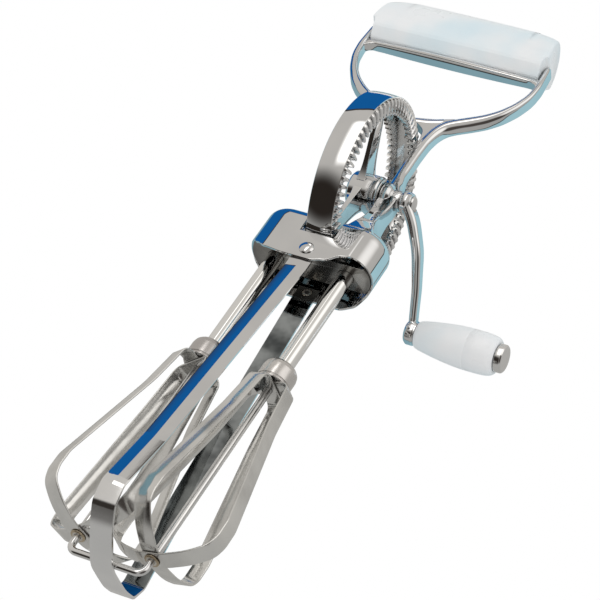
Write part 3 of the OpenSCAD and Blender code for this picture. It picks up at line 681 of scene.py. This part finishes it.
strip = make("centre_strip_band", [moved(sweep(strip_path, strip_section), SIDE)], sharp=8)
place(strip, "handle", "centre_strip", STRIP_CHROME)
strip.data.materials.append(STRIP_BACK_PAINTED_SHADE)
strip.data.materials.append(STAINLESS)
# Forward-facing faces of the back leg take the painted-shade copy of the chrome; upward faces at the bottom take
# stainless.
for face in strip.data.polygons:
    if face.normal.z > 0.6 and face.center.z < BASE + 12 * MM:
        face.material_index = 2
    elif face.normal.y < -0.5 and face.center.y > 0:
        face.material_index = 1

WIRE_H, WIRE_R = 3.0, 1.4
wire_points = [(-SHAFT_X, 12.3), (-SHAFT_X, WIRE_H), (SHAFT_X, WIRE_H), (SHAFT_X, 12.3)]
wire_path = even(rounded(wire_points, 3.0, 10), 0.8)
wire = make("pivot_wire_rod", [moved(sweep(
    wire_path, lambda i, s: [(WIRE_R * math.cos(2 * math.pi * k / 24), WIRE_R * math.sin(2 * math.pi * k / 24))
                             for k in range(24)]), upright())])
place(wire, "handle", "pivot_wire", STEEL)

# ---------------------------------------------------------------- crown wheel
RIM_R, RIM_HALF, RIM_WALL = 40.0, 5.4, 0.9
rim_profile = []
for k in range(13):
    x = -RIM_HALF + 0.25 + (2 * RIM_HALF - 0.5) * k / 12
    rim_profile.append((RIM_R - 0.34 * (x / RIM_HALF) ** 2 - 0.02, x))
rim_profile += [(39.45, RIM_HALF - 0.05), (39.2, RIM_HALF - 0.1), (RIM_R - RIM_WALL, RIM_HALF - 0.35),
                (RIM_R - RIM_WALL, -RIM_HALF + 0.35), (39.2, -RIM_HALF + 0.1), (39.45, -RIM_HALF + 0.05)]
rim = make("drive_wheel_rim", [moved(lathe(rim_profile, 240, closed=True), along_x())], sharp=40)
place(rim, "crank", "drive_wheel", CHROME)

TEETH, PER_TOOTH = 72, 10
# Rows of (radius, distance from the middle plane) along the top of a tooth and between teeth. The
# teeth on the crank side stand a little proud of the rim.
CREST = [(32.3, 5.75), (32.8, 6.25), (33.8, 6.5), (36, 6.55), (37.6, 6.5), (38.3, 6.3), (38.8, 5.8),
         (39.15, 5.25)]
VALLEY = [(33.9, 4.5), (34.6, 4.7), (36, 4.85), (37.4, 4.88), (38.4, 4.95), (39.15, 5.1)]
RADIAL = 14


LOW_CREST = [(32.3, 5.3), (33.4, 5.7), (34.6, 5.95), (37.2, 5.95), (38.0, 5.75), (38.8, 5.25), (39.15, 5.0)]


def tooth_face(side, top):
    """Ring of radial teeth with pointed inner ends; side is 1 on the crank side and -1 opposite."""
    verts, rows = [], []
    count = TEETH * PER_TOOTH
    for j in range(count):
        a = 2 * math.pi * j / count
        t = (j % PER_TOOTH) / PER_TOOTH
        t = min(t, 1 - t) * 2
        crest = 1 - lookup(t, [(0.36, 0), (0.47, 0.4), (0.56, 0.85), (0.66, 1)])
        inner = 32.3 + 1.9 * lookup(t, [(0, 0), (0.1, 0.04), (0.7, 0.9), (1, 1)])
        row = []
        for k in range(RADIAL + 1):
            r = inner + (39.15 - inner) * (k / RADIAL)
            x = lookup(r, VALLEY) + (lookup(r, top) - lookup(r, VALLEY)) * crest
            row.append(len(verts))
            verts.append(Vector((side * x, r * math.cos(a), AXLE_H + r * math.sin(a))))
        for r, x in ((39.15, 3.95), (inner, 3.6)):
            row.append(len(verts))
            verts.append(Vector((side * x, r * math.cos(a), AXLE_H + r * math.sin(a))))
        rows.append(row)
    m = len(rows[0])
    faces = []
    for j in range(count):
        r0, r1 = rows[j], rows[(j + 1) % count]
        faces += [(r0[k], r0[(k + 1) % m], r1[(k + 1) % m], r1[k]) for k in range(m)]
    return verts, faces


for side, label, top in ((1, "right", CREST), (-1, "left", LOW_CREST)):
    teeth = make(f"drive_wheel_teeth_{label}", [tooth_face(side, top)], sharp=35)
    place(teeth, "crank", "drive_wheel", GEAR_CHROME)

SPOKE_START = 23


def spoke(angle):
    """Flat spoke from the hub to the rim, wider at the hub, its edges turned up a little."""
    a = math.radians(angle)
    path = [Vector((5 + 34.3 * k / 16, 0)) for k in range(17)]
    flat = [(-1, -1.0), (-0.86, -1.0), (-0.8, -0.72), (0.8, -0.72), (0.86, -1.0), (1, -1.0),
            (1, 1.0), (0.86, 1.0), (0.8, 0.72), (-0.8, 0.72), (-0.86, 1.0), (-1, 1.0)]

    def section(i, s):
        half = 4.7 - 2.2 * s + 1.2 * (1 - s) ** 8
        return [(u * half, v * (1 + 0.9 * (1 - s) ** 10)) for u, v in flat]

    turn = Matrix(((0, 0, 1, 0), (math.cos(a), -math.sin(a), 0, 0),
                   (math.sin(a), math.cos(a), 0, AXLE_H), (0, 0, 0, 1)))
    return moved(sweep(path, section), turn)


spokes = make("drive_wheel_spokes", [spoke(SPOKE_START + 120 * k) for k in range(3)], sharp=25)
bevel(spokes, 0.22, 2, 30)
place(spokes, "crank", "drive_wheel", CHROME)

HUB_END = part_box("drive_wheel")[1].x / MM
hub = make("drive_wheel_hub", [moved(lathe(fillet_profile(
    [(2.53, -5), (6.4, -5), (7.6, -4), (7.6, HUB_END - 1.6), (7.1, HUB_END - 0.9), (7.1, HUB_END),
     (2.53, HUB_END)], [0.4, 0.6, 0.5, 0.3, 0.3], 3), 96, closed=True), along_x())])
place(hub, "crank", "drive_wheel", CHROME)

axle = make("axle_pin", [moved(lathe(fillet_profile(
    [(0, -6.4), (2.6, -6.4), (4, -5.02), (2.5, -5.02), (2.5, 21.4), (3.6, 21.42), (2.9, 22.3), (0, 22.7)],
    [0.6, 0.3, 0, 0, 0.2, 0.6], 3), 64), along_x())])
place(axle, "crank", "axle", STEEL)


# ---------------------------------------------------------------- crank arm and knob
def in_crank(x, r, v):
    """Point of the crank: x along the axle, r along the arm, v square to both."""
    c, s = math.cos(CRANK_DROP), math.sin(CRANK_DROP)
    return Vector((x, r * c + v * s, AXLE_H - r * s + v * c))


def crank_matrix():
    origin = in_crank(0, 0, 0)
    ax, ar, av = (in_crank(*e) - origin for e in ((1, 0, 0), (0, 1, 0), (0, 0, 1)))
    m = Matrix((ax, ar, av)).transposed().to_4x4()
    m.translation = origin
    return m


CRANK = crank_matrix()
ARM_END_X = 35.5
arm_path = even(rounded([(19.2, -3.4), (19.5, 0.4), (23.8, 6.4), (28.8, 17.2), (32.5, 31.5),
                         (ARM_END_X - 0.2, 47.5)], [4, 30, 40, 60], 8), 1.2)
ARM_HALF = [(-3, 1.7), (0, 1.95), (5, 2.1), (18, 1.9), (30, 1.6), (48, 1.45)]
ARM_DEPTH = [(-3.4, 2.6), (-2, 3.9), (0, 4.3), (4, 4.0), (12, 3.6), (24, 3.0), (34, 2.6), (48, 2.4)]


def arm_section(i, s):
    r = arm_path[i].y
    return bar_section(lookup(r, ARM_HALF), lookup(r, ARM_DEPTH))


def crank_disc(profile, segments=72, x=0.0, r=0.0, closed=True):
    return moved(lathe(profile, segments, closed), CRANK @ Matrix.Translation((x, r, 0))
                 @ Matrix.Rotation(math.pi / 2, 4, "Y"))


arm_bar = make("crank_arm_bar", [moved(sweep(arm_path, arm_section, ends=0.8), CRANK)])
drill(arm_bar, moved(rod(2.52, 0, 14, 0.1), CRANK @ Matrix.Translation((14, 0, 0))
                     @ Matrix.Rotation(math.pi / 2, 4, "Y")),
      moved(rod(3.62, 0, 8, 0.1), CRANK @ Matrix.Translation((21.4, 0, 0))
            @ Matrix.Rotation(math.pi / 2, 4, "Y")))
place(arm_bar, "crank", "crank_arm", CHROME)
arm_eyes = make("crank_arm_eyes", [
    crank_disc(fillet_profile([(2.52, 17.2), (4.2, 17.2), (4.6, 17.7), (4.6, 19.8), (4.1, 21.3),
                               (2.52, 21.4)], [0.3, 0.5, 1.5, 0.3], 3)),
    crank_disc(fillet_profile([(1.62, -2.3), (4.2, -2.3), (5.0, -1.4), (5.0, 1.2), (4.7, 1.5), (4.7, 2.1),
                               (1.62, 2.1)], [0.5, 0.6, 0.3, 0.2, 0.2], 3),
               x=ARM_END_X, r=CRANK_RADIUS)])
place(arm_eyes, "crank", "crank_arm", CHROME)

KNOB_X, KNOB_LONG, KNOB_R = 37.9, 34.1, 8.4
spindle = make("knob_spindle_pin", [crank_disc(
    [(0, 32.4), (1.8, 32.4), (2.7, 33.15), (1.6, 33.2), (1.6, KNOB_X + KNOB_LONG + 1), (0, KNOB_X + KNOB_LONG + 1)],
    48, r=CRANK_RADIUS, closed=False)])
place(spindle, "crank", "knob_spindle", STEEL)

cap_x = KNOB_X + KNOB_LONG + 0.15
cap = make("knob_cap_disc", [crank_disc(fillet_profile(
    [(1.62, 0.0), (5.6, 0.0), (5.7, 0.15), (5.7, 2.35), (5.2, 2.9), (4.6, 3.0), (0, 3.0)],
    [0.1, 0.1, 0.3, 0.3, 0.3], 3) + [(0, 0.9), (1.62, 0.85)], 72, x=cap_x, r=CRANK_RADIUS)])
place(cap, "crank", "knob_cap", STEEL)

KNOB = [(0, 0.6), (0.02, 0.67), (0.09, 0.73), (0.21, 0.82), (0.36, 0.91), (0.5, 0.97), (0.62, 0.998),
        (0.8, 1.0), (0.88, 0.98), (0.94, 0.94), (0.975, 0.88), (0.995, 0.8)]
knob_outline = [(p.y * KNOB_R, p.x * KNOB_LONG) for p in rounded(
    [(x, r) for x, r in KNOB], 0.3, 4)]
seam = 0.655 * KNOB_LONG
knob_profile = [(1.66, 0.05)]
for r, z in knob_outline:
    if knob_profile[-1][1] < seam - 0.45 and z > seam - 0.45:
        full = KNOB_R * 0.999
        knob_profile += [(full, seam - 0.45), (full - 0.16, seam - 0.25), (full - 0.16, seam + 0.15),
                         (full, seam + 0.35)]
    if abs(z - seam) > 0.5:
        knob_profile.append((r, z))
knob_profile += [(6.2, KNOB_LONG - 0.02), (5.0, KNOB_LONG - 0.3), (1.66, KNOB_LONG - 0.3)]
knob = make("knob_barrel", [crank_disc(knob_profile, 96, x=KNOB_X, r=CRANK_RADIUS)], sharp=50)
place(knob, "crank_knob", "knob", WHITE)


# ---------------------------------------------------------------- beaters
def on_shaft(s, turn=0.0):
    return Matrix.Translation((s * SHAFT_X, 0, 0)) @ Matrix.Rotation(math.radians(turn), 4, "Z")


PINION_TEETH, PINION_PITCH = 18, 9.0875


def pinion_outline():
    root, tip = PINION_PITCH - 1.05, PINION_PITCH + 0.62
    out = []
    for i in range(PINION_TEETH):
        a = (i + 0.5) * 2 * math.pi / PINION_TEETH
        for r, half in ((root, 0.72), (root + 0.5, 0.66), (tip - 0.15, 0.34), (tip, 0.2)):
            out.append((r, a - half / r))
        for r, half in ((tip, 0.2), (tip - 0.15, 0.34), (root + 0.5, 0.66), (root, 0.72)):
            out.append((r, a + half / r))
    return [(r * math.cos(a), r * math.sin(a)) for r, a in out]


def blade_path(inset):
    low, high = 10.1 + 0.4 + inset, 100.5 - 0.4 - inset
    r = 22.5 - inset * 0.3
    half = [(0, low), (5, low), (r * 0.62, low + 2.6), (r * 0.93, 17.5 + inset), (r, 22.5), (r, 30),
            (12.3, 79), (9.6 - inset * 0.3, high), (0, high)]
    path = rounded(half, [14, 26, 9, 9, 14, 60, 3.4], 12)
    return path + [Vector((-p.x, p.y)) for p in reversed(path[1:-1])]


def blade(inset):
    """Blade loop with rounded edges; its bore for the eyelet is drilled by the caller."""
    path = blade_path(inset)
    return sweep(path, lambda i, s: box_section(0.4, 3.5, 0.28, 3), closed=True)


EYELET = fillet_profile([(1.47, 9.3), (2.5, 9.3), (2.95, 9.55), (2.95, 9.95), (2.3, 10.08), (2.3, 13.0),
                         (2.0, 13.3), (1.47, 13.3)], [0.3, 0.2, 0.2, 0.1, 0.2, 0.2], 3)

for s, label, phase in ((-1, "left", LEFT_PHASE), (1, "right", RIGHT_PHASE)):
    body = f"{label}_beater"
    here = on_shaft(s)
    outline = pinion_outline()
    pinion = make(f"{label}_pinion_gear", [
        moved(plate(outline, 1.95, Matrix.Identity(4)), here @ Matrix.Translation((0, 0, 174.25)))])
    drill(pinion, moved(rod(2.02, 160, 190, 0.1), here))
    bevel(pinion, 0.12, 2)
    place(pinion, body, f"{label}_pinion", STEEL)
    pinion_hub = make(f"{label}_pinion_hub", [moved(rod(5.4, 171, 172.8, 0.3, bore=2.02), here)])
    place(pinion_hub, body, f"{label}_pinion", STEEL)

    shaft = make(f"{label}_shaft_rod", [moved(lathe(
        [(0, 103.5), (3.4, 103.5), (3.4, 170.6), (3.1, 170.98), (2, 171), (2, 180.7), (1.7, 181), (0, 181)],
        72), here)])
    place(shaft, body, f"{label}_shaft", CHROME)

    collar = make(f"{label}_collar_cup", [moved(lathe(
        [(1.62, 100.52)] + fillet_profile(
            [(6.7, 100.52), (7.0, 100.8), (7.0, 101.35), (6.72, 101.5), (6.72, 101.85), (7.05, 102.0),
             (7.05, 107.6), (6.75, 109.1), (5.9, 110.2), (4.8, 110.8), (3.7, 111), (3.45, 110.6)],
            [0.2, 0.1, 0.1, 0.1, 0.1, 1.5, 1.2, 1.2, 1, 0.2], 3)
        + [(3.42, 103.5), (1.62, 103.45)], 96, closed=True), here)], sharp=40)
    place(collar, body, f"{label}_collar", SATIN)

    thin = make(f"{label}_centre_rod", [moved(rod(1.6, 13.3, 103.4, 0.2, segments=40), here)])
    place(thin, body, f"{label}_rod", STEEL)

    for inset, part, quarter in ((0.0, "outer", 0), (0.8, "inner", 90)):
        band = make(f"{label}_blade_{part}_strip",
                    [moved(moved(blade(inset), upright()), on_shaft(s, phase + quarter))], sharp=40)
        drill(band, moved(rod(2.32, 5, 17, 0.1), here), moved(rod(1.62, 94, 104, 0.1), here))
        band.data.polygons.foreach_set("use_smooth", [True] * len(band.data.polygons))
        band.data.set_sharp_from_angle(angle=math.radians(40))
        place(band, body, f"{label}_blade_{part}", STAINLESS)

    eyelet = make(f"{label}_eyelet_flange", [moved(lathe(EYELET, 64, closed=True), here)])
    place(eyelet, body, f"{label}_eyelet", BRASS)

# ---------------------------------------------------------------- inside the housing
BRIDGE_H, BRIDGE_HALF_T, BRIDGE_LOBE = 164.4, 0.8, 10.26
bridge_arc = [math.radians(38.6 * (k / 8 - 1)) for k in range(17)]
bridge_outline = [(SHAFT_X + BRIDGE_LOBE * math.cos(a), BRIDGE_LOBE * math.sin(a)) for a in bridge_arc]
bridge_outline += [(-x, -y) for x, y in bridge_outline]
bridge = make("bearing_bridge_plate", [plate(
    bridge_outline, BRIDGE_HALF_T, Matrix.Translation((0, 0, BRIDGE_H)))])
drill(bridge, *(moved(rod(3.45, 160, 169, 0.1), on_shaft(s)) for s in (-1, 1)))
bevel(bridge, 0.15, 2)
place(bridge, "handle", "bearing_bridge", BRIDGE_STEEL)

washers = make("pinion_washer_rings", [
    moved(rod(4, 176.25, 176.9, 0.12, bore=2.05), on_shaft(s)) for s in (-1, 1)])
place(washers, "handle", "pinion_washers", BRASS)

# ---------------------------------------------------------------- camera
RIGHT = Vector((0.88919394, 0.08740077, 0.44910494))
UP = Vector((-0.25667579, -0.7172776, 0.64778884))
BACK = Vector((0.37875015, -0.69128428, -0.61536524))
camera_data = bpy.data.cameras.new("camera")
camera_data.lens, camera_data.sensor_width = 164.817, 36
camera = bpy.data.objects.new("camera", camera_data)
view = Matrix((RIGHT, UP, BACK)).transposed().to_4x4()
view.translation = Vector((0.40027, -0.72265, BASE - 0.49739))
camera.matrix_world = view
bpy.context.scene.collection.objects.link(camera)
bpy.context.scene.camera = camera

# ---------------------------------------------------------------- studio
# Mirror surfaces see a room made from directions: a pale ceiling of soft light, a dark end of the
# room, and a blue and teal table behind the tool. Everything else sees soft white.
world = bpy.data.worlds.new("studio")
bpy.context.scene.world = world
world.use_nodes = True
w = Tree(world.node_tree)
ray = w.node("ShaderNodeTexCoord").outputs["Generated"]
wobble = w.noise(ray, 5.0, 3.0)
right, up, back = (w.dot(ray, axis) for axis in (RIGHT, UP, BACK))
back = w.math("ADD", back, w.math("MULTIPLY", w.math("SUBTRACT", wobble, 0.5), 0.06))


def blob(direction, near, far):
    """1 inside the cone whose cosine is near, fading to 0 at far."""
    axis = (RIGHT * direction[0] + UP * direction[1] + BACK * direction[2]).normalized()
    return w.step(w.dot(ray, axis), far, near)


plain = w.mix(w.step(up, -0.7, 0.9), rgb(0.36, 0.355, 0.34), rgb(0.50, 0.48, 0.45))
plain = w.mix(blob((-0.75, -0.15, 0.65), 0.97, 0.80), plain, rgb(0.022, 0.018, 0.015))
plain = w.mix(blob((0.45, -0.25, 0.86), 0.95, 0.8), plain, rgb(0.06, 0.052, 0.047))
across = w.dot(ray, (1, 0, 0))
window = w.math("MULTIPLY", w.step(across, -0.37, -0.27), w.step(across, -0.04, -0.12))
window = w.math("MULTIPLY", window, w.math("MULTIPLY", w.step(up, 0.4, 0.62), w.step(back, 0.06, 0.16)))
plain = w.mix(window, plain, rgb(1.8, 1.76, 1.7))
plain = w.mix(blob((0.72, 0.5, 0.48), 0.97, 0.86), plain, rgb(1.0, 0.97, 0.93))
teal = w.mix(w.step(right, -0.4, 0.9), rgb(0.22, 0.36, 0.41), rgb(0.36, 0.57, 0.63))
deep = rgb(0.006, 0.10, 0.32)
table = w.mix(w.math("MULTIPLY", w.step(up, 0.3, 0.4), w.step(right, 0.42, 0.3)), teal, deep)
behind = w.math("SUBTRACT", back, w.step(up, -0.3, -0.7, 0.0, 0.2))
mirror = w.mix(w.step(behind, -0.25, -0.27), plain, table)
line = w.math("MULTIPLY", w.step(behind, -0.3, -0.265), w.step(behind, -0.225, -0.25))
mirror = w.mix(line, mirror, rgb(0.03, 0.026, 0.022))
soft = w.mix(w.step(back, 0.1, -0.5), rgb(0.72, 0.72, 0.72), rgb(0.45, 0.6, 0.67))
room = w.node("ShaderNodeVectorMath", {0: plain, 3: 1.15}, operation="SCALE").outputs[0]
# Only true mirror finishes pick up the coloured table; duller metal reflects the plain room.
path = w.node("ShaderNodeLightPath")
seen = w.mix(path.outputs["Is Glossy Ray"], soft, room)
seen = w.mix(w.math("MULTIPLY", path.outputs["Is Glossy Ray"], path.outputs["Is Singular Ray"]), seen, mirror)
seen = w.mix(path.outputs["Is Camera Ray"], seen, rgb(1, 1, 1))
shade = w.node("ShaderNodeBackground", {"Color": seen, "Strength": 1.0})
w.tree.links.new(shade.outputs[0], w.node("ShaderNodeOutputWorld").inputs[0])


def area(name, place_at, aim, size, power, color=(1, 1, 1)):
    data = bpy.data.lights.new(name, "AREA")
    data.size, data.energy, data.color = size, power, color
    light = bpy.data.objects.new(name, data)
    light.location = place_at
    light.rotation_mode = "QUATERNION"
    light.rotation_quaternion = (Vector(aim) - Vector(place_at)).to_track_quat("-Z", "Y")
    light.visible_glossy = False
    light.visible_camera = False
    bpy.context.scene.collection.objects.link(light)


middle = (cad_low + cad_high) / 2
area("soft_key", middle + UP * 0.8 + BACK * 0.5 - RIGHT * 0.4, middle, 0.7, 1.7, (1.0, 0.98, 0.95))
area("soft_fill", middle + RIGHT * 0.8 + BACK * 0.4, middle, 0.7, 0.8, (0.9, 0.96, 1.0))
area("soft_top", middle + Vector((0, 0, 0.9)), middle, 0.8, 1.2)

# Pale floor under the tool. It is seen from above only, since the camera looks up past it.
floor_material = bpy.data.materials.new("pale_floor")
floor_material.use_nodes = True
f = Tree(floor_material.node_tree)
coords = f.node("ShaderNodeTexCoord").outputs["Object"]
pale = f.mix(f.noise(coords, 6.0, 3.0), rgb(0.86, 0.86, 0.85), rgb(0.82, 0.82, 0.815))
matte = f.node("ShaderNodeBsdfPrincipled", {"Base Color": pale, "Roughness": 0.7})
clear = f.node("ShaderNodeBsdfTransparent")
sides = f.node("ShaderNodeMixShader", {0: f.node("ShaderNodeNewGeometry").outputs["Backfacing"]})
f.tree.links.new(matte.outputs[0], sides.inputs[1])
f.tree.links.new(clear.outputs[0], sides.inputs[2])
f.tree.links.new(sides.outputs[0], f.node("ShaderNodeOutputMaterial").inputs[0])
floor_mesh = bpy.data.meshes.new("floor")
floor_z = cad_low.z - 0.0005
floor_mesh.from_pydata([(-1.5, -1.5, floor_z), (1.5, -1.5, floor_z), (1.5, 1.5, floor_z), (-1.5, 1.5, floor_z)],
                       [], [(0, 1, 2, 3)])
floor = bpy.data.objects.new("floor", floor_mesh)
floor.data.materials.append(floor_material)
floor.visible_glossy = False
floor.visible_diffuse = False
floor.visible_shadow = False
bpy.context.scene.collection.objects.link(floor)

bpy.context.scene.view_settings.view_transform = "Standard"
